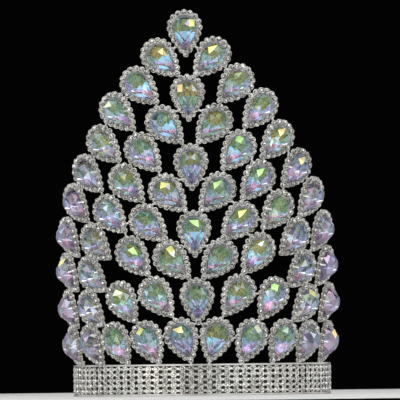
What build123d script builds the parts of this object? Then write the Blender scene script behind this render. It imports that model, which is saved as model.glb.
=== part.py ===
"""A tall pageant crown of pear-shaped crystals on a full-round rhinestone band."""

from build123d import *
import math
import os

# Driving dimensions, in millimetres and degrees

# Base band, a channel ring that carries five rows of small round stones
band_inner_radius = 82.6
band_wall = 1.0
band_height = 20.9
rim_depth = 3.0  # how far the two rims stand out from the wall, wall included
rim_thickness = 1.3
rim_chamfer = 0.25

# Five rows of stones in one woven band, seated in the channel
stone_rows = 5
seat_gap = 0.1
row_valley_radius = 85.0
row_front_radius = 86.2
row_foot = 3.3  # height of one row where it meets the valley
row_table = 1.7

# Conical wall on which the pear settings stand
wall_radius = 87.3  # at the top of the band, to the front of the settings
wall_flare = 6.0  # the wall opens outwards going up
lean = 1.9  # the body leans to the wearer's right
sway = 0.9  # and is turned this much the same way, so its right side is the higher
sway_rise = 40.0  # the turn grows up to this height above the band

# Pear crystal, drawn about the centre of its round head, tip down
stone_radius = 8.3
stone_tip = 15.9
shoulder_angle = 18.0  # where the flatter flanks leave the round head
tip_share = 1.4  # how far the tip moves for each unit of an outline's offset
stone_centre = -3.0  # the rings of facets shrink towards this point of the axis
girdle_facets = 16
main_facets = 8
girdle_bottom = -0.9
girdle_top = -0.3
crown_scale = 0.83
crown_height = 3.0
table_scale = 0.56
table_height = 6.2
pavilion_scale = 0.5
pavilion_depth = -3.6
keel_depth = -4.9
keel_ends = (-1.0, -6.0)  # on the axis, towards the head and towards the tip

# Setting, a pear-shaped ring with a scalloped edge, one scallop under each small cup
pocket_gap = 0.15
cup_line_radius = 9.95
cup_line_tip = 18.0
cup_radius = 1.8
cup_count = 18
ring_radius = 10.3
ring_tip = 18.6
ring_top = -1.2
setting_back = -2.65
ledge_width = 1.1
ledge_top = -1.75

# Claws that lean over each crystal's edge
claw_angles = (35, 145)  # on the round head, from the line through its centre
claw_drop = 17  # on the flanks, in steps of the outline from the tip
outline_steps = 100
claw_width = 0.9
claw_depth = 0.9
claw_set = 0.6  # from the pocket's edge to the claw, at its foot
claw_foot = -1.9
claw_top = 1.9
claw_tip = 0.4

# Solder links between neighbouring settings, and feet that stand on the band
link_radius = 0.7
link_length = 3.6
link_limit = 6.0  # cups whose centres are nearer than this are soldered
link_reach = 45.0  # settings further apart than this are never neighbours
foot_radius = 0.9
foot_length = 4.0
foot_line = 85.2  # radius on which the feet stand
foot_bottom = 19.7

# Crystals of each chevron. One is on the centre line, and the others go in mirrored
# pairs from there outwards and down to the band. Columns: the head's bearing from the
# front, its height, and how far its tip turns inwards.
centre_heights = (242.5, 200.0, 154.5, 110.5, 66.0)
chevron_sides = (
    (
        (10.0, 224.5, 44.0),
        (18.5, 206.5, 45.0),
        (28.0, 190.0, 43.0),
        (35.5, 169.0, 46.0),
        (45.0, 150.0, 45.0),
        (54.0, 131.0, 42.0),
        (62.5, 109.0, 38.0),
        (67.5, 85.5, 42.0),
        (72.0, 61.0, 43.0),
        (73.5, 36.5, 36.0),
    ),
    (
        (10.0, 180.5, 42.0),
        (19.0, 163.0, 40.0),
        (27.0, 143.0, 42.0),
        (36.0, 123.0, 43.0),
        (45.5, 104.5, 48.0),
        (50.0, 83.0, 50.0),
        (53.5, 60.5, 48.0),
        (55.5, 37.0, 33.0),
    ),
    (
        (10.5, 135.5, 43.0),
        (19.5, 116.0, 46.0),
        (27.0, 95.0, 38.0),
        (34.0, 65.5, 32.0),
        (39.5, 38.0, 29.0),
    ),
    (
        (10.5, 91.5, 41.0),
        (18.0, 68.0, 35.0),
        (23.5, 38.5, 25.0),
    ),
    ((7.8, 40.0, 18.0),),
)

os.makedirs("parts", exist_ok=True)


def setting_plane(bearing, height, tilt, side):
    """Plane of one setting: origin at the head's centre, Y to the head, Z outwards."""
    rise = height - band_height
    slope = math.tan(math.radians(wall_flare))
    radius = wall_radius + rise * slope
    angle = math.radians(bearing * side)
    outwards = Vector(math.sin(angle), -math.cos(angle), -slope)
    sideways = Vector(math.cos(angle), math.sin(angle), 0)
    shift = rise * math.tan(math.radians(lean))
    lift = math.tan(math.radians(sway)) * min(1, rise / sway_rise)
    across = radius * math.sin(angle)
    origin = Vector(across - shift, -radius * math.cos(angle), height + across * lift)
    twist = lean * math.cos(angle) - tilt * side
    sideways = sideways.rotate(Axis((0, 0, 0), outwards), twist)
    return Plane(origin, x_dir=sideways, z_dir=outwards)


def chevron_planes(chevron):
    """Planes of a chevron's settings, the centre one first."""
    planes = [setting_plane(0, centre_heights[chevron], 0, 1)]
    for bearing, height, tilt in chevron_sides[chevron]:
        for side in (-1, 1):
            planes.append(setting_plane(bearing, height, tilt, side))
    return planes


def pear_line(head_radius, tip):
    """Pear outline from its tip round the head and back, to be called in BuildLine."""
    foot = (0, -tip)
    head = CenterArc((0, 0), head_radius, -shoulder_angle, 180 + 2 * shoulder_angle)
    TangentArc(head @ 0, foot, tangent=(head % 0) * -1)
    TangentArc(head @ 1, foot, tangent=head % 1)


def pear_points(head_radius, tip, count):
    """Evenly spaced points of a pear outline, the first at its tip."""
    with BuildLine() as outline:
        pear_line(head_radius, tip)
    # One flank from the tip to the top of the head, mirrored for the other flank
    flank = outline.line.edges().sort_by(Axis.X)[-1]
    arc = head_radius * math.radians(90 + shoulder_angle)
    half = flank.length + arc
    points = []
    for step in range(count):
        along = step * 2 * half / count
        near = min(along, 2 * half - along)
        if near <= flank.length:
            share = near / flank.length
            point = flank @ (share if (flank @ 0).Y < (flank @ 1).Y else 1 - share)
        else:
            angle = (near - flank.length) / head_radius - math.radians(shoulder_angle)
            point = Vector(head_radius * math.cos(angle), head_radius * math.sin(angle))
        points.append(Vector(point.X if along <= half else -point.X, point.Y))
    return points


def pocket_spots(head_radius, tip):
    """Claw places on a pocket's outline, each with its direction into the pocket."""
    spots = []
    for angle in claw_angles:
        out = Vector(math.cos(math.radians(angle)), math.sin(math.radians(angle)))
        spots.append((out * head_radius, out * -1))
    outline = pear_points(head_radius, tip, outline_steps)
    for place in (claw_drop, outline_steps - claw_drop):
        along = outline[place + 1] - outline[place - 1]
        spots.append((outline[place], Vector(-along.Y, along.X).normalized()))
    return spots


def link_planes(planes, rings):
    """Planes midway between the nearest cups of neighbouring settings."""
    links = []
    for first, ring in enumerate(rings):
        for second in range(first):
            if (planes[first].origin - planes[second].origin).length > link_reach:
                continue
            pairs = [(cup, other) for cup in ring for other in rings[second]]
            cup, other = min(pairs, key=lambda pair: (pair[1] - pair[0]).length)
            if (other - cup).length < link_limit:
                links.append(Plane((cup + other) * 0.5, z_dir=other - cup))
    return links


def foot_places(rings):
    """Places on the band's top rim below the tips of the lowest settings."""
    places = []
    for ring in rings:
        tip = ring[0]
        if tip.Z - foot_bottom < foot_length:
            reach = foot_line / math.hypot(tip.X, tip.Y)
            places.append((tip.X * reach, tip.Y * reach, foot_bottom))
    return places


def facet_ring(count, scale, depth, first=0):
    """Corners of one ring of facets, taken from a smaller copy of the girdle's line."""
    ring = []
    outline = pear_points(stone_radius, stone_tip, girdle_facets)
    for point in outline[first :: girdle_facets // count]:
        ring.append(
            Vector(point.X * scale, stone_centre + (point.Y - stone_centre) * scale, depth)
        )
    return ring


# Pear crystal in a brilliant cut. The rings above and below the girdle start half a
# step on, so their corners lie between those of the table.
crystal_corners = (
    facet_ring(girdle_facets, 1, girdle_bottom)
    + facet_ring(girdle_facets, 1, girdle_top)
    + facet_ring(main_facets, crown_scale, crown_height, first=1)
    + facet_ring(main_facets, table_scale, table_height)
    + facet_ring(main_facets, pavilion_scale, pavilion_depth, first=1)
    + [Vector(0, end, keel_depth) for end in keel_ends]
)
with BuildPart() as crystal:
    ConvexPolyhedron(crystal_corners)

# One setting: scalloped ring, ledge and claws, open in the middle for the crystal
pocket_radius = stone_radius + pocket_gap
pocket_tip = stone_tip + tip_share * pocket_gap
crown_lean = (1 - crown_scale) * stone_radius / (crown_height - girdle_top)
claw_lean = crown_lean * (claw_top - girdle_top) - pocket_gap / 2
claw_planes = []
for spot, inwards in pocket_spots(pocket_radius, pocket_tip):
    claw_planes.append(Plane(spot, x_dir=inwards, z_dir=inwards.cross(Vector(0, 0, 1))))

with BuildPart() as setting:
    with BuildSketch(Plane.XY.offset(setting_back)) as rim:
        with BuildLine():
            pear_line(ring_radius, ring_tip)
        make_face()
        with Locations(*pear_points(cup_line_radius, cup_line_tip, cup_count)):
            Circle(cup_radius)
        with BuildLine():
            pear_line(pocket_radius, pocket_tip)
        make_face(mode=Mode.SUBTRACT)
    extrude(amount=ring_top - setting_back)
    with BuildSketch(Plane.XY.offset(setting_back)) as ledge:
        with BuildLine():
            pear_line(pocket_radius + pocket_gap, pocket_tip + pocket_gap)
        make_face()
        with BuildLine():
            pear_line(pocket_radius - ledge_width, pocket_tip - tip_share * ledge_width)
        make_face(mode=Mode.SUBTRACT)
    extrude(amount=ledge_top - setting_back)
    with BuildSketch(*claw_planes) as claw:
        with BuildLine():
            Polyline(
                (-claw_set - claw_depth, claw_foot),
                (-claw_set, claw_foot),
                (claw_lean, claw_top),
                (claw_lean - claw_tip, claw_top + claw_tip),
                close=True,
            )
        make_face()
    extrude(amount=claw_width / 2, both=True)

# Places of all the settings, and the middle of each of their scallops
chevrons = range(len(centre_heights))
all_planes = [plane for chevron in chevrons for plane in chevron_planes(chevron)]
cup_depth = (setting_back + ring_top) / 2
cup_spots = pear_points(cup_line_radius, cup_line_tip, cup_count)
cup_rings = []
for plane in all_planes:
    ring = [plane.from_local_coords((spot.X, spot.Y, cup_depth)) for spot in cup_spots]
    cup_rings.append(ring)

# Whole metal frame, soldered into one piece: a channel for the rows of stones, the
# settings on it, the links between them and the feet of the lowest ones
with BuildPart() as crown_frame:
    with BuildSketch(Plane.XZ) as channel:
        with Locations((band_inner_radius, 0)):
            Rectangle(band_wall, band_height, align=(Align.MIN, Align.MIN))
            Rectangle(rim_depth, rim_thickness, align=(Align.MIN, Align.MIN))
        with Locations((band_inner_radius, band_height)):
            Rectangle(rim_depth, rim_thickness, align=(Align.MIN, Align.MAX))
        chamfer(channel.vertices().group_by(Axis.X)[-1], rim_chamfer)
    revolve(axis=Axis.Z)
    with Locations(*all_planes):
        add(setting.part)
    with Locations(*link_planes(all_planes, cup_rings)):
        Cylinder(link_radius, link_length)
    with Locations(*foot_places(cup_rings)):
        Cylinder(foot_radius, foot_length, align=(Align.CENTER, Align.CENTER, Align.MIN))
crown_frame.part.label = "crown_frame"
export_step(crown_frame.part, "parts/crown_frame.step")

# Woven band of five rows of small stones, lying in the channel
row_bottom = rim_thickness + seat_gap
row_pitch = (band_height - 2 * row_bottom) / stone_rows
with BuildPart() as rhinestone_band:
    with BuildSketch(Plane.XZ) as rows:
        back = band_inner_radius + band_wall + seat_gap
        corners = [(back, row_bottom), (row_valley_radius, row_bottom)]
        for row in range(stone_rows):
            middle = row_bottom + (row + 0.5) * row_pitch
            corners += [
                (row_valley_radius, middle - row_foot / 2),
                (row_front_radius, middle - row_table / 2),
                (row_front_radius, middle + row_table / 2),
                (row_valley_radius, middle + row_foot / 2),
            ]
        corners += [(row_valley_radius, band_height - row_bottom), (back, band_height - row_bottom)]
        with BuildLine():
            Polyline(*corners, close=True)
        make_face()
    revolve(axis=Axis.Z)
rhinestone_band.part.label = "rhinestone_band"
export_step(rhinestone_band.part, "parts/rhinestone_band.step")

# Crystals of the five chevrons, loose in their settings
for chevron in chevrons:
    name = f"pear_crystals_{chevron + 1}"
    with BuildPart() as chevron_crystals:
        with Locations(*chevron_planes(chevron)):
            add(crystal.part)
    chevron_crystals.part.label = name
    export_step(chevron_crystals.part, f"parts/{name}.step")
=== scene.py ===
import math
import random

import bmesh
import bpy
from mathutils import Matrix, Vector


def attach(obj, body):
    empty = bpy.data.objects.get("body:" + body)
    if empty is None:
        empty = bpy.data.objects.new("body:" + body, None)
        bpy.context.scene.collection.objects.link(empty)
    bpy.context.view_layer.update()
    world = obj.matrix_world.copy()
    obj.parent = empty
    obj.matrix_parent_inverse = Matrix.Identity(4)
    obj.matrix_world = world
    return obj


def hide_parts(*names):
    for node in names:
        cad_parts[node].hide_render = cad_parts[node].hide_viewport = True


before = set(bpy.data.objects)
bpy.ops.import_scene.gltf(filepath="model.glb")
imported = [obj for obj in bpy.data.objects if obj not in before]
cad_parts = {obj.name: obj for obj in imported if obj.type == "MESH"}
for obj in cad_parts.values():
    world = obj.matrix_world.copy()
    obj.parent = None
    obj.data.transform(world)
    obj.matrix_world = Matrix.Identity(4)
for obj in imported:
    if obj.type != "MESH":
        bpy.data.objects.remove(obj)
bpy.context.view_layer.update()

random.seed(59)
mm = 0.001

print("stage: frame loaded,", len(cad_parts), "nodes")


# Shader helpers

class Wire:
    # a number in a node tree: sums, products and powers of wires add Math nodes
    def __init__(self, tree, socket):
        self.tree = tree
        self.socket = socket

    def math(self, operation, first, second):
        made = self.tree.nodes.new("ShaderNodeMath")
        made.operation = operation
        for slot, value in enumerate((first, second)):
            if isinstance(value, Wire):
                self.tree.links.new(value.socket, made.inputs[slot])
            else:
                made.inputs[slot].default_value = value
        return Wire(self.tree, made.outputs[0])

    def __add__(self, other):
        return self.math("ADD", self, other)

    def __radd__(self, other):
        return self.math("ADD", other, self)

    def __sub__(self, other):
        return self.math("SUBTRACT", self, other)

    def __rsub__(self, other):
        return self.math("SUBTRACT", other, self)

    def __mul__(self, other):
        return self.math("MULTIPLY", self, other)

    def __rmul__(self, other):
        return self.math("MULTIPLY", other, self)

    def __pow__(self, other):
        return self.math("POWER", self, other)

    def __gt__(self, other):
        return self.math("GREATER_THAN", self, other)

    def __lt__(self, other):
        return self.math("LESS_THAN", self, other)


class Finish:
    # one material, built round its Principled shader
    def __init__(self, name, **constants):
        self.material = bpy.data.materials.new(name)
        self.material.use_nodes = True
        self.tree = self.material.node_tree
        self.shader = self.tree.nodes["Principled BSDF"]
        self.give(self.shader, constants)

    def give(self, node, values):
        for name, value in values.items():
            socket = node.inputs[name if isinstance(name, int) else name.replace("_", " ")]
            if isinstance(value, Wire):
                self.tree.links.new(value.socket, socket)
            else:
                socket.default_value = value

    def node(self, kind, settings=None, values=None, output=0):
        made = self.tree.nodes.new("ShaderNode" + kind)
        for name, value in (settings or {}).items():
            if name == "stops":
                stops = made.color_ramp.elements
                while len(stops) < len(value):
                    stops.new(0.5)
                for stop, (place, colour) in zip(stops, value):
                    stop.position = place
                    stop.color = (*colour, 1)
            elif name == "interpolation":
                made.color_ramp.interpolation = value
            else:
                setattr(made, name, value)
        self.give(made, values or {})
        return Wire(self.tree, made.outputs[output])

    def place(self):
        return self.node("TexCoord", output="Object")

    def noise(self, scale, detail):
        return self.node("TexNoise", values={"Vector": self.place(), "Scale": scale, "Detail": detail})

    def ramp(self, value, stops, interpolation="LINEAR"):
        return self.node("ValToRGB", {"stops": stops, "interpolation": interpolation}, {"Fac": value})

    def blend(self, share, first, second, mode="MIX"):
        return self.node("Mix", {"data_type": "RGBA", "blend_type": mode},
                         {0: share, 6: first, 7: second}, output=2)

    def bump(self, height, strength, distance):
        return self.node("Bump", values={"Height": height, "Strength": strength, "Distance": distance})

    def finish(self, **links):
        self.give(self.shader, links)
        return self.material


# Mesh helpers

def newPiece(name, bm, materials):
    mesh = bpy.data.meshes.new(name)
    bm.to_mesh(mesh)
    bm.free()
    for material in materials:
        mesh.materials.append(material)
    piece = bpy.data.objects.new(name, mesh)
    bpy.context.scene.collection.objects.link(piece)
    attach(piece, "root")
    print("stage:", name, len(mesh.polygons), "faces")
    return piece


def keepMesh(bm, name):
    mesh = bpy.data.meshes.new(name)
    bmesh.ops.recalc_face_normals(bm, faces=bm.faces)
    bm.to_mesh(mesh)
    bm.free()
    return mesh


def stamp(bm, mesh, matrix):
    # adds a placed copy of a mesh
    placed = mesh.copy()
    placed.transform(matrix)
    bm.from_mesh(placed)
    bpy.data.meshes.remove(placed)


# Pear outline: a round head about the origin and two flanks that meet in the tip

shoulder = math.radians(18)


def pearSpot(share, radius, tip):
    # the point at a share of the way round, from the tip
    side = 1 if share <= 0.5 else -1
    way = Vector((math.cos(shoulder), -math.sin(shoulder)))
    foot = Vector((0, -tip))
    reach = (tip ** 2 - radius ** 2) / (2 * (way.dot(foot) - radius))
    hub = way * reach
    flankRadius = radius - reach
    start = math.atan2(*reversed(foot - hub))
    sweep = -shoulder - start
    flank = sweep * flankRadius
    half = flank + radius * (math.pi / 2 + shoulder)
    along = 2 * half * (share if side > 0 else 1 - share)
    if along <= flank:
        angle = start + along / flankRadius
        spot = hub + flankRadius * Vector((math.cos(angle), math.sin(angle)))
    else:
        angle = (along - flank) / radius - shoulder
        spot = radius * Vector((math.cos(angle), math.sin(angle)))
    return Vector((side * spot.x, spot.y))


# Places of the pear crystals, read from their nodes

chevrons = [f"pear_crystals_{number}" for number in range(1, 6)]
stone = {
    "radius": 8.25,  # mm, as are all lengths in these tables
    "tip": 15.8,
    "centre": -3.0,  # the rings of facets shrink towards this point of the axis
    # corners of each ring, its share of the outline, its height, and its turn in steps
    "rings": (
        (8, 0.5, 6.1, 0.0),
        (8, 0.82, 3.1, 0.5),
        (16, 1.0, -0.35, 0.0),
        (16, 1.0, -0.9, 0.0),
        (8, 0.74, -2.6, 0.5),
    ),
    # lowest facet, a V that points to the tip, with a small glint at each upper corner
    "culet": (
        (-2.4, -2.6, -4.8),
        (2.4, -2.6, -4.8),
        (0.0, -9.0, -4.8),
        (-4.0, -3.2, -4.3),
        (4.0, -3.2, -4.3),
    ),
    "backGap": 0.05,  # between the crystal and the lacquer on its back
    "backWall": 0.08,
    "cadTip": 15.9,  # of the solid that shows where a crystal sits
    "cadTipMiddle": -0.6,  # height of the tip's edge, half way up
    "sideStart": 55,  # crystals further aside than this get painted shade, warmer and darker, up to the next distance
    "sideEnd": 88,
}
# how the facets of a crystal shine; slopes are the part of a facet's normal along the crystal's axis
sparkle = {
    "beltDepth": -2.1,  # facets behind the girdle down to here get a painted grey reflection and a faint painted glow
    "facetTint": 0.5,  # a facet's own share of its tint, the rest is the whole crystal's
    "tableSlope": 0.99,  # the table and the lowest facet are flatter than this
    "sheenShare": 0.3,
    "sheenShareAside": 0.4,  # more of them at the sides
    "sheenRange": (0.2, 0.55),
    "sheenTintAside": 0.35,
    "glintShare": 0.8,
    "glintArea": 3.5,  # smaller facets than this, in square mm, shine white
    "glintGlow": 1,
    "poolShare": 0.15,  # crystals whose lowest facet shows bright blue
    "poolGlow": 0.8,
    "flashShare": 0.6,  # crystals with a bright flash on their upper side
    "flashLossAside": 0.6,
    "flashSlope": (0.5, 0.9),
    "flashRise": 0.3,
    "flashGlow": (0.1, 0.7),
}


def islands(bm):
    # the loose solids of a mesh, each as a list of its corners
    left = dict.fromkeys(bm.verts)  # keeps their order
    while left:
        grown = [left.popitem()[0]]
        for vert in grown:
            for edge in vert.link_edges:
                other = edge.other_vert(vert)
                if other in left:
                    del left[other]
                    grown.append(other)
        yield grown


def stonePlaces(nodeName):
    # where each crystal of a node sits: middle of its round head, Y away from the tip, Z outwards
    bm = bmesh.new()
    bm.from_mesh(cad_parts[nodeName].data)
    bmesh.ops.remove_doubles(bm, verts=bm.verts, dist=0.01 * mm)
    places = []
    for verts in islands(bm):
        facets = {}
        for face in dict.fromkeys(face for vert in verts for face in vert.link_faces):
            key = tuple(round(value, 2) for value in face.normal)
            facets.setdefault(key, []).append(face)
        table = max(facets.values(), key=lambda group: sum(face.calc_area() for face in group))
        outwards = table[0].normal.normalized()
        middle = sum((vert.co for vert in verts), Vector()) / len(verts)
        flat = {vert: (vert.co - middle) - outwards * (vert.co - middle).dot(outwards) for vert in verts}
        tipEnds = sorted(verts, key=lambda vert: flat[vert].length)[-2:]
        tip = (tipEnds[0].co + tipEnds[1].co) / 2
        up = -(flat[tipEnds[0]] + flat[tipEnds[1]]).normalized()
        origin = tip + up * stone["cadTip"] * mm - outwards * stone["cadTipMiddle"] * mm
        turn = Matrix((up.cross(outwards), up, outwards)).transposed().to_4x4()
        places.append(Matrix.Translation(origin) @ turn)
    bm.free()
    places.sort(key=lambda place: (-round(place.translation.z, 4), place.translation.x))
    return places


places = {name: stonePlaces(name) for name in chevrons}
print("stage: crystals found,", sum(len(group) for group in places.values()))


# Materials

silver = {
    "tones": ((0.3, (0.64, 0.63, 0.60)), (0.6, (0.78, 0.77, 0.74)), (0.8, (0.85, 0.84, 0.82))),
    # painted glints and painted shade, speckled over the small cups
    "paintedGlintsAndShade": ((0.38, (0.42, 0.42, 0.40)), (0.5, (0.9, 0.9, 0.9)), (0.62, (1.2, 1.2, 1.2))),
    # painted shade: the wall behind the rows of stones is coloured near black, rougher and less metallic, so the
    # gaps read as shadow
    "wallInside": 83.3,
    "wallOutside": 84.2,
    "wallBottom": 1.2,
    "wallTop": 19.7,
    "wallPaintedShade": (0.035, 0.036, 0.03, 1),
}


def silverFinish(name, roughness, bright=1.0, channel=False):
    made = Finish(name, Metallic=1.0)
    cloud = made.noise(90, 3)
    grain = made.noise(1600, 2)
    colour = made.ramp(cloud, [(stop, [part * bright for part in tone]) for stop, tone in silver["tones"]])
    if channel:
        # painted shade on the wall behind the rows of stones, between its inside and outside radius and between
        # bottom and top
        across = made.node("SeparateXYZ", values={"Vector": made.place()})
        x, y, z = (Wire(made.tree, across.socket.node.outputs[axis]) for axis in range(3))
        radius = (x * x + y * y) ** 0.5
        inWall = (radius > silver["wallInside"] * mm) * (radius < silver["wallOutside"] * mm)
        behind = inWall * (z > silver["wallBottom"] * mm) * (z < silver["wallTop"] * mm)
        colour = made.blend(behind, colour, silver["wallPaintedShade"])
        return made.finish(
            Base_Color=colour, Roughness=roughness + cloud * 0.12 + behind * 0.3,
            Metallic=1 - behind * 0.8, Normal=made.bump(grain, 0.12, 0.05 * mm))
    # painted glints and painted shade: the small cups' colour is speckled with spots brighter than white and
    # dark spots between them, for facets and folds of the plating
    paintedGlintsAndShade = made.ramp(made.noise(850, 1), silver["paintedGlintsAndShade"])
    return made.finish(
        Base_Color=made.blend(1.0, colour, paintedGlintsAndShade, "MULTIPLY"), Roughness=roughness + cloud * 0.12,
        Normal=made.bump(grain, 0.1, 0.05 * mm))


def clearStoneFinish(name, bright):
    made = Finish(name, Metallic=0.85, Coat_Weight=1.0, Coat_Roughness=0.02)
    # painted reflections: each cell of the stone is coloured from near black to white, for facets that mirror
    # the dark room or a lamp; bright scales the middle stops
    cells = made.node("TexVoronoi", values={"Vector": made.place(), "Scale": 900.0}, output="Color")
    grey = made.node("SeparateColor", values={"Color": cells})
    colour = made.ramp(grey, [
        (0.0, (0.09, 0.09, 0.08)),
        (0.3, (0.30 * bright, 0.30 * bright, 0.28 * bright)),
        (0.6, (0.60 * bright, 0.60 * bright, 0.58 * bright)),
        (0.9, (0.96, 0.96, 0.98)),
    ])
    return made.finish(Base_Color=colour, Roughness=0.06 + grey * 0.1)


def crystalGlassFinish():
    # clear glass; the facets with a sheen reflect like a thin coloured mirror
    made = Finish(
        "crystalGlass", Roughness=0.0, IOR=1.56, Transmission_Weight=1.0, Thin_Film_Thickness=420.0,
        Thin_Film_IOR=1.7)
    sheen = made.node("Attribute", {"attribute_name": "sheen"}, output="Fac")
    tint = made.node("Attribute", {"attribute_name": "tint"}, output="Fac")
    coat = made.ramp(tint, [
        (0.0, (0.62, 0.34, 0.50)),
        (0.2, (0.50, 0.42, 0.68)),
        (0.4, (0.62, 0.80, 0.95)),
        (0.6, (0.90, 0.92, 0.95)),
        (0.8, (0.70, 0.85, 0.60)),
        (1.0, (0.92, 0.80, 0.50)),
    ])
    return made.finish(Base_Color=made.blend(sheen > 0.01, (1, 1, 1, 1), coat), Metallic=sheen)


def auroraFoilFinish():
    # foil behind the crystal, with painted reflections: gold and green on facets that face up, blue and violet
    # on those that face down, broken up by noise and darkened in streaks
    made = Finish("auroraFoil", Metallic=1.0, Emission_Strength=0.8)
    rise, tint, belt, glow = (
        made.node("Attribute", {"attribute_name": name}, output="Fac")
        for name in ("rise", "tint", "belt", "glow"))
    cloud = made.noise(200, 1)
    streak = made.noise(620, 2)
    value = rise * 0.75 + 0.42 + (tint - 0.5) * 0.45 + (cloud - 0.5) * 0.5
    colour = made.ramp(value, [
        (0.00, (0.77, 0.43, 0.62)),
        (0.12, (0.59, 0.43, 0.79)),
        (0.28, (0.42, 0.42, 0.77)),
        (0.40, (0.48, 0.61, 0.83)),
        (0.50, (0.35, 0.59, 0.60)),
        (0.62, (0.27, 0.48, 0.26)),
        (0.78, (0.46, 0.46, 0.15)),
        (1.00, (0.64, 0.43, 0.18)),
    ])
    # painted shade: the crystals at the sides are coloured warmer, darker and duller
    paintedSideShade = made.ramp(value, [
        (0.0, (0.56, 0.30, 0.46)),
        (0.3, (0.36, 0.30, 0.62)),
        (0.6, (0.42, 0.40, 0.52)),
        (0.9, (0.66, 0.40, 0.26)),
    ])
    across = made.node("SeparateXYZ", values={"Vector": made.place()})
    side = made.node("MapRange", values={
        "Value": (across * across) ** 0.5, "From Min": stone["sideStart"] * mm,
        "From Max": stone["sideEnd"] * mm, "To Max": 0.9})
    # painted reflection: the facets behind the girdle take a speckled grey, for the halo seen in the crystal's
    # edge
    grey = made.ramp(cloud * 0.5 + tint * 0.5, [
        (0.1, (0.33, 0.45, 0.41)), (0.5, (0.49, 0.49, 0.58)), (0.9, (0.66, 0.57, 0.72))])
    shade = made.ramp(streak, [(0.35, (0.5, 0.5, 0.51)), (0.6, (1.0, 1.0, 1.0))])
    # what a facet's glow stands for: nothing, lime, yellow, gold, pale yellow, blue or white
    glare = made.ramp(glow, [
        (0.0, (0.0, 0.0, 0.0)),
        (0.1, (0.42, 0.74, 0.24)),
        (0.25, (0.80, 0.78, 0.24)),
        (0.4, (0.82, 0.64, 0.26)),
        (0.55, (0.75, 0.80, 0.55)),
        (0.7, (0.28, 0.56, 0.74)),
        (0.9, (0.90, 0.94, 1.0)),
    ], "CONSTANT")
    shine = made.blend((glow < 0.85) * 0.5, glare, (0, 0, 0, 1))  # white shines most
    colour = made.blend(belt * (1 - side) * 0.75, made.blend(side, colour, paintedSideShade), grey)
    # the belt facets glow faintly grey, a painted glow; flashes and glints glow in their own colours
    return made.finish(
        Base_Color=made.blend(glow > 0.05, made.blend(1.0, colour, shade, "MULTIPLY"), glare),
        Roughness=0.12 + streak * 0.15 + belt * 0.15, Emission_Color=made.blend(belt * 0.2, shine, grey))


def foilBackFinish():
    made = Finish("foilBack", Metallic=0.9)
    cloud = made.noise(220, 3)
    colour = made.ramp(cloud, [(0.3, (0.50, 0.49, 0.46)), (0.7, (0.66, 0.65, 0.62))])
    return made.finish(Base_Color=colour, Roughness=0.3 + cloud * 0.2)


frameSilver = silverFinish("frameSilver", 0.18, channel=True)
# the halo's and the band's plating are lighter copies of the frame's: a painted highlight, strongest on the band
haloSilver = silverFinish("haloSilver", 0.08, 1.05)
bandSilver = silverFinish("bandSilver", 0.08, 1.2)
# the halo's stones are a darker copy and the band's a lighter one: painted shade and painted highlight
haloStone = clearStoneFinish("haloStone", 0.85)
bandStone = clearStoneFinish("bandStone", 1.4)
crystalGlass = crystalGlassFinish()
auroraFoil = auroraFoilFinish()
foilBack = foilBackFinish()

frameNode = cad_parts["crown_frame"]
for held in frameNode.material_slots:
    held.material = frameSilver
print("stage: materials made")


# Pear crystals: a clear crown over a coloured, mirror-backed pavilion

def stoneMesh(name):
    bm = bmesh.new()
    for count, scale, height, turn in stone["rings"]:
        for step in range(count):
            spot = pearSpot((step + turn) / count % 1, stone["radius"], stone["tip"])
            along = stone["centre"] + (spot.y - stone["centre"]) * scale
            bm.verts.new(Vector((spot.x * scale, along, height)) * mm)
    for corner in stone["culet"]:
        bm.verts.new(Vector(corner) * mm)
    bmesh.ops.convex_hull(bm, input=bm.verts)
    bmesh.ops.dissolve_limit(bm, angle_limit=math.radians(1), verts=bm.verts, edges=bm.edges)
    return keepMesh(bm, name)


def backMesh(name):
    # thin closed shell of lacquer over the facets behind the girdle
    bm = bmesh.new()
    bm.from_mesh(crystalMesh)
    front = [face for face in bm.faces if face.normal.z > -0.1]
    bmesh.ops.delete(bm, geom=front, context="FACES")
    for vert in bm.verts:
        vert.co += vert.normal * stone["backGap"] * mm
    bmesh.ops.solidify(bm, geom=bm.faces[:], thickness=-stone["backWall"] * mm)
    return keepMesh(bm, name)


crystalMesh = stoneMesh("crystalTemplate")
lacquerMesh = backMesh("lacquerTemplate")


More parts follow.
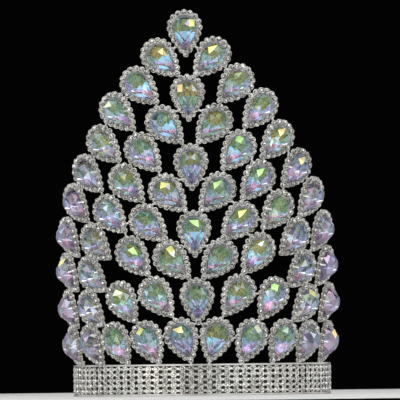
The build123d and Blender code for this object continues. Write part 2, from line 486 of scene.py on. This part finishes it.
def makeCrystals(number, name):
    bm = bmesh.new()
    rise, tint, belt, glow, sheen = (
        bm.faces.layers.float.new(key) for key in ("rise", "tint", "belt", "glow", "sheen"))
    for place in places[name]:
        mood = random.random()
        past = abs(place.translation.x) / mm - stone["sideStart"]
        aside = min(max(past, 0) / (stone["sideEnd"] - stone["sideStart"]), 1)
        known = len(bm.faces)
        stamp(bm, crystalMesh, place)
        bm.faces.ensure_lookup_table()
        local = place.inverted()
        high = []  # crown facets on the upper side, two neighbours of them may flash
        for face in bm.faces[known:]:
            face.normal_update()
            outwards = (local.to_3x3() @ face.normal).z
            isCrown = outwards > 0.1
            depth = (local @ face.calc_center_median()).z
            face.material_index = 0 if isCrown else 1
            # painted reflection: how far a facet faces up in the world picks its foil colour
            face[rise] = face.normal.z
            face[tint] = mood * (1 - sparkle["facetTint"]) + random.random() * sparkle["facetTint"]
            face[belt] = float(depth > sparkle["beltDepth"] * mm)
            sheenShare = sparkle["sheenShare"] + aside * sparkle["sheenShareAside"]
            if isCrown and outwards < sparkle["tableSlope"] and random.random() < sheenShare:
                face[sheen] = random.uniform(*sparkle["sheenRange"])
                # painted shade at the sides: sheen facets there take the darker pink and violet tints
                if random.random() < aside:
                    face[tint] = random.random() * sparkle["sheenTintAside"]
            # painted glints: small facets low in the pavilion glow white
            if not isCrown and not face[belt] and face.calc_area() < sparkle["glintArea"] * mm ** 2:
                face[glow] = sparkle["glintGlow"] if random.random() < sparkle["glintShare"] else 0
            # painted pool of light: the lowest facet glows blue
            if outwards < -sparkle["tableSlope"] and random.random() < sparkle["poolShare"]:
                face[glow] = sparkle["poolGlow"]
            flattest, steepest = sparkle["flashSlope"]
            if flattest < outwards < steepest and face.normal.z > sparkle["flashRise"]:
                high.append(face)
        # painted flash: a pair of upward-facing crown facets glows where the top light would fall
        if high and random.random() < sparkle["flashShare"] * (1 - aside * sparkle["flashLossAside"]):
            flash = random.choice(high)
            around = (other for edge in flash.edges for other in edge.link_faces)
            beside = [other for other in around if other in high and other != flash]
            colour = random.uniform(*sparkle["flashGlow"])
            for face in [flash] + beside[:1]:
                face.material_index = 1
                face[glow] = colour
        known = len(bm.faces)
        stamp(bm, lacquerMesh, place)
        bm.faces.ensure_lookup_table()
        for face in bm.faces[known:]:
            face.material_index = 2
    piece = newPiece(f"pear_gems_{number}", bm, [crystalGlass, auroraFoil, foilBack])
    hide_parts(name)


for number, name in enumerate(chevrons, 1):
    makeCrystals(number, name)


# Halo of small round stones in the cups of each setting

halo = {
    "lineRadius": 9.95,
    "lineTip": 18.0,
    "count": 18,
    "seat": -1.25,  # a hair below the ring's face
    # cup wall and rolled rim, radius and height
    "profile": ((0.0, 0.0), (1.5, 0.0), (1.64, 0.75), (1.74, 0.95), (1.66, 1.12), (1.46, 1.02), (1.36, 0.8)),
    "sides": 10,
    "stoneRadius": 1.45,
    "tableRadius": 0.66,
    "stoneLow": 0.8,
    "stoneHigh": 1.55,
    "facets": 8,
    "prong": (0.27, 0.27, 0.6),  # half width both ways and half height
    "prongReach": 0.95,
    "prongMiddle": -0.62,
    "nod": 0.1,  # radians, the most that a cup leans
}


def lathe(bm, profile, sides):
    # spins a line of points about Z
    verts = [bm.verts.new((radius * mm, 0, height * mm)) for radius, height in profile]
    edges = [bm.edges.new(pair) for pair in zip(verts, verts[1:])]
    bmesh.ops.spin(
        bm, geom=verts + edges, cent=(0, 0, 0), axis=(0, 0, 1), angle=2 * math.pi, steps=sides,
        use_merge=True, use_duplicate=False)
    bmesh.ops.remove_doubles(bm, verts=bm.verts, dist=0.002 * mm)
    for face in bm.faces:
        face.smooth = True


def cutStone(bm, shape):
    # small round stone: a ring of facets that slope up to its table
    known = len(bm.faces)
    rise = (shape["stoneHigh"] - shape["stoneLow"]) * mm
    bmesh.ops.create_cone(
        bm, cap_ends=True, cap_tris=False, segments=shape["facets"], radius1=shape["stoneRadius"] * mm,
        radius2=shape["tableRadius"] * mm, depth=rise,
        matrix=Matrix.Translation((0, 0, shape["stoneLow"] * mm + rise / 2)))
    bm.faces.ensure_lookup_table()
    for face in bm.faces[known:]:
        face.material_index = 1


def haloCupMesh():
    bm = bmesh.new()
    lathe(bm, halo["profile"], halo["sides"])
    cutStone(bm, halo)
    return keepMesh(bm, "haloTemplate")


def prongMesh(shape, name):
    bm = bmesh.new()
    bmesh.ops.create_icosphere(bm, subdivisions=1, radius=mm, matrix=Matrix.Diagonal((*shape, 1)))
    for face in bm.faces:
        face.smooth = True
    return keepMesh(bm, name)


haloCup = haloCupMesh()
haloProng = prongMesh(halo["prong"], "haloProngTemplate")


def makeHalos(number, name):
    bm = bmesh.new()
    count = halo["count"]
    for place in places[name]:
        for step in range(count):
            spot = pearSpot(step / count, halo["lineRadius"], halo["lineTip"])
            local = Matrix.Translation(Vector((spot.x, spot.y, halo["seat"])) * mm)
            spin = Matrix.Rotation(random.random() * math.pi, 4, "Z")
            nod = Matrix.Rotation(random.uniform(-halo["nod"], halo["nod"]), 4, "X")
            stamp(bm, haloCup, place @ local @ spin @ nod)
            # the prongs stand between two cups, square to the line that the cups follow
            joint = pearSpot((step + 0.5) / count, halo["lineRadius"], halo["lineTip"])
            ahead = pearSpot((step + 0.51) / count, halo["lineRadius"], halo["lineTip"])
            across = Vector((joint.y - ahead.y, ahead.x - joint.x)).normalized()
            for side in (-1, 1):
                foot = joint + across * side * halo["prongReach"]
                stamp(bm, haloProng, place @ Matrix.Translation(
                    Vector((foot.x, foot.y, halo["prongMiddle"])) * mm))
    newPiece(f"halo_stones_{number}", bm, [haloSilver, haloStone])


for number, name in enumerate(chevrons, 1):
    makeHalos(number, name)


# Woven band: columns of small stones in cups, joined by flat links at each row

band = {
    "columns": 90,
    "rows": 5,
    "bottom": 1.4,
    "top": 19.5,
    "backRadius": 83.75,
    "cupFront": 85.2,
    "cupWidth": 4.0,
    "cupCorner": 0.75,
    "rimWidth": 0.28,
    "rimDepth": 0.25,
    "linkHeight": 1.7,
    "linkDepth": 0.6,
    "linkRadius": 84.9,
    "linkEdge": 0.2,
    "linkLap": 0.2,  # how far a link reaches into its cups, both ends together
    "stoneRadius": 1.5,
    "tableRadius": 0.72,
    "stoneLow": -0.3,
    "stoneHigh": 0.6,
    "facets": 8,
    "prong": (0.34, 0.34, 0.3),
    "prongReach": 1.42,
    "prongMiddle": 0.15,
    "nod": 0.04,
}


def bandCupMesh():
    # square cup with cut corners and a raised rim, its stone and its four corner prongs
    depth = (band["cupFront"] - band["backRadius"]) * mm
    tall = (band["top"] - band["bottom"]) / band["rows"] * mm
    bm = bmesh.new()
    bmesh.ops.create_cube(bm, size=1, matrix=Matrix.Translation((0, 0, -depth / 2)) @ Matrix.Diagonal((
        band["cupWidth"] * mm, tall, depth, 1)))
    upright = [edge for edge in bm.edges if abs((edge.verts[0].co - edge.verts[1].co).z) > depth / 2]
    bmesh.ops.bevel(
        bm, geom=upright, offset=band["cupCorner"] * mm, affect="EDGES", segments=1, profile=0.5, material=-1)
    front = [face for face in bm.faces if face.normal.z > 0.5]
    bmesh.ops.inset_region(
        bm, faces=front, thickness=band["rimWidth"] * mm, depth=-band["rimDepth"] * mm, use_even_offset=True)
    cutStone(bm, band)
    for side in (-1, 1):
        for end in (-1, 1):
            reach = band["prongReach"]
            middle = Vector((side * reach, end * reach, band["prongMiddle"])) * mm
            stamp(bm, bandProng, Matrix.Translation(middle))
    return keepMesh(bm, "bandTemplate")


def linkMesh():
    pitch = 2 * math.pi * band["linkRadius"] / band["columns"]
    bm = bmesh.new()
    length = pitch - band["cupWidth"] + band["linkLap"]
    bmesh.ops.create_cube(bm, size=1, matrix=Matrix.Diagonal((
        length * mm, band["linkHeight"] * mm, band["linkDepth"] * mm, 1)))
    bmesh.ops.bevel(
        bm, geom=bm.edges[:], offset=band["linkEdge"] * mm, affect="EDGES", segments=1, profile=0.5, material=-1)
    return keepMesh(bm, "linkTemplate")


bandProng = prongMesh(band["prong"], "bandProngTemplate")
bandCup = bandCupMesh()
bandLink = linkMesh()


def makeBand():
    bm = bmesh.new()
    pitch = (band["top"] - band["bottom"]) / band["rows"]
    step = 2 * math.pi / band["columns"]
    upright = Matrix.Rotation(math.pi / 2, 4, "X")  # local Z outwards, local Y up
    for column in range(band["columns"]):
        for row in range(band["rows"]):
            height = Matrix.Translation((0, 0, (band["bottom"] + (row + 0.5) * pitch) * mm))
            nod = Matrix.Rotation(random.uniform(-band["nod"], band["nod"]), 4, "X") @ Matrix.Rotation(
                random.uniform(-band["nod"], band["nod"]), 4, "Y")
            stamp(bm, bandCup, height @ Matrix.Rotation(column * step, 4, "Z") @ upright @ Matrix.Translation(
                (0, 0, band["cupFront"] * mm)) @ nod)
            stamp(bm, bandLink, height @ Matrix.Rotation(
                (column + 0.5) * step, 4, "Z") @ upright @ Matrix.Translation((0, 0, band["linkRadius"] * mm)))
    piece = newPiece("band_stones", bm, [bandSilver, bandStone])
    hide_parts("rhinestone_band")


makeBand()


# Floor, lights and camera

ground = {
    "halfWidth": 1.5,  # m
    "tones": ((0.3, (0.60, 0.60, 0.60)), (0.7, (0.66, 0.66, 0.65))),
}


def makeFloor():
    made = Finish("paleFloor", Roughness=0.55)
    cloud = made.noise(3, 3)
    bm = bmesh.new()
    bmesh.ops.create_grid(bm, x_segments=1, y_segments=1, size=ground["halfWidth"])
    mesh = bpy.data.meshes.new("floor")
    bm.to_mesh(mesh)
    bm.free()
    mesh.materials.append(made.finish(Base_Color=made.ramp(cloud, ground["tones"])))
    floor = bpy.data.objects.new("floor", mesh)
    bpy.context.scene.collection.objects.link(floor)


makeFloor()

studio = {
    "middle": Vector((0, 0, 0.13)),  # m
    "distance": 1.5,
    "size": 1.5,
    "dark": (0.001, 0.001, 0.001, 1),  # the room behind the panels
    # bearing from the front (+ to the right), height angle, power, colour
    "panels": (
        (-36, 16, 7.0, (1.0, 0.97, 0.93)),
        (36, 16, 6.0, (0.96, 0.98, 1.0)),
        (0, 12, 2.0, (1.0, 1.0, 1.0)),
        (0, 60, 9.0, (1.0, 0.98, 0.95)),
        (-78, 14, 4.5, (0.95, 0.97, 1.0)),
        (78, 14, 4.0, (1.0, 0.98, 0.96)),
        (-70, 55, 4.5, (1.0, 1.0, 1.0)),
        (70, 55, 4.0, (1.0, 1.0, 1.0)),
        (-125, 18, 4.0, (1.0, 1.0, 1.0)),
        (125, 18, 4.0, (1.0, 1.0, 1.0)),
        (180, 30, 6.0, (1.0, 1.0, 1.0)),
    ),
}


def makeLights():
    distance = studio["distance"]
    for index, (bearing, rise, power, colour) in enumerate(studio["panels"]):
        light = bpy.data.lights.new(f"panel{index}", "AREA")
        light.shape = "DISK"
        light.size = studio["size"]
        light.energy = power
        light.color = colour
        lamp = bpy.data.objects.new(f"panel{index}", light)
        angle = math.radians(bearing)
        lift = math.radians(rise)
        way = Vector((
            math.sin(angle) * math.cos(lift), -math.cos(angle) * math.cos(lift), math.sin(lift)))
        lamp.location = studio["middle"] + way * distance
        lamp.rotation_euler = way.to_track_quat("Z", "Y").to_euler()
        lamp.visible_camera = False
        bpy.context.scene.collection.objects.link(lamp)
    world = bpy.data.worlds.new("studio")
    world.use_nodes = True
    world.node_tree.nodes["Background"].inputs["Color"].default_value = studio["dark"]
    bpy.context.scene.world = world


makeLights()

# The photograph, in pixels of its 400 by 400 frame
photo = {
    "size": 400,
    "perPixel": 0.66,  # mm of the crown for each pixel
    "middleX": 202.5,  # the band's axis
    "floorY": 395.4,
    "roll": 0.7,  # degrees, the left side lower
    "turn": 0.8,  # degrees, the camera stands this far to one side
}
cameraPlan = {
    "distance": 10.0,  # m, a long lens from far away
    "front": 0.085,  # m, the body that the scale is measured on stands this far before the axis
    "height": 0.02,
    "sensor": 36.0,
}


def makeCamera():
    frameWidth = photo["size"] * photo["perPixel"] * mm
    data = bpy.data.cameras.new("camera")
    data.sensor_width = cameraPlan["sensor"]
    data.lens = cameraPlan["sensor"] * (cameraPlan["distance"] - cameraPlan["front"]) / frameWidth
    data.clip_end = 100
    camera = bpy.data.objects.new("camera", data)
    turn = math.radians(photo["turn"])
    roll = math.radians(photo["roll"])
    # the photograph's middle, seen on the body's front and carried back to the axis
    across = (photo["size"] / 2 - photo["middleX"]) * photo["perPixel"] * mm
    rise = (photo["floorY"] - photo["size"] / 2) * photo["perPixel"] * mm
    behind = cameraPlan["front"] / (cameraPlan["distance"] - cameraPlan["front"])
    aim = Vector((
        across * math.cos(roll) + rise * math.sin(roll), 0, rise + behind * (rise - cameraPlan["height"])))
    camera.location = Vector((
        aim.x + math.sin(turn) * cameraPlan["distance"], -math.cos(turn) * cameraPlan["distance"],
        cameraPlan["height"]))
    look = (camera.location - aim).to_track_quat("Z", "Y").to_matrix().to_4x4()
    camera.matrix_world = (
        Matrix.Translation(camera.location) @ look @ Matrix.Rotation(-roll, 4, "Z"))
    bpy.context.scene.collection.objects.link(camera)
    bpy.context.scene.camera = camera


makeCamera()
bpy.context.scene.view_settings.view_transform = "Standard"
print("stage: floor, lights and camera made")
